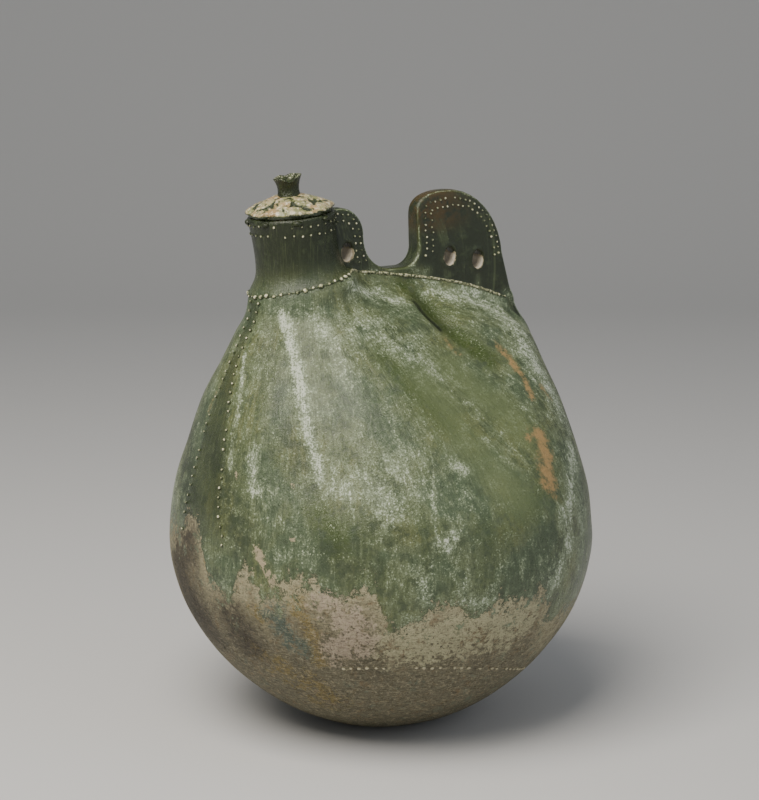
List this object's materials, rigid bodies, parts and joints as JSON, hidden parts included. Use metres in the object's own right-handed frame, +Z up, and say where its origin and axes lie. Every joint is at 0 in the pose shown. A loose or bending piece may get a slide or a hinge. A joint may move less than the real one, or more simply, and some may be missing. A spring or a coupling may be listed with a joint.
{
  "type": "earthenware flask",
  "caption": "Lidded earthenware flask shaped like a stitched leather bag, with a leaning neck and a crest of pierced lugs for a carrying cord.",
  "frame": {"origin": "middle of the flat face under the rounded bottom, which is also the bottom centre of the overall box", "axes": "+X along the crest from the neck to the rear lug, -Y the pictured side, +Z up"},
  "size_m": [0.2784, 0.2784, 0.3628],
  "materials": {
    "bare_clay": "matte",
    "green_glaze": "satin",
    "dark_glaze": "gloss",
    "worn_glaze": "satin",
    "lid_glaze": "gloss",
    "spigot_clay": "matte",
    "knob_glaze": "gloss"
  },
  "bodies": {
    "flask": {"lower_bag": "bare_clay", "upper_bag": "green_glaze", "neck": "dark_glaze", "neck_welt": "worn_glaze", "front_lug": "dark_glaze", "saddle": "dark_glaze", "rear_lug": "dark_glaze", "crest_welt_front": "worn_glaze", "crest_welt_back": "worn_glaze"},
    "lid": {"lid_plate": "lid_glaze", "lid_spigot": "spigot_clay", "lid_knob": "knob_glaze"}
  },
  "joints": [
    {"name": "lid_lift", "type": "slide", "parent": "flask", "child": "lid", "axis": [-0.0976, 0, 0.9952], "range_m": [0, 0.05]}
  ]
}
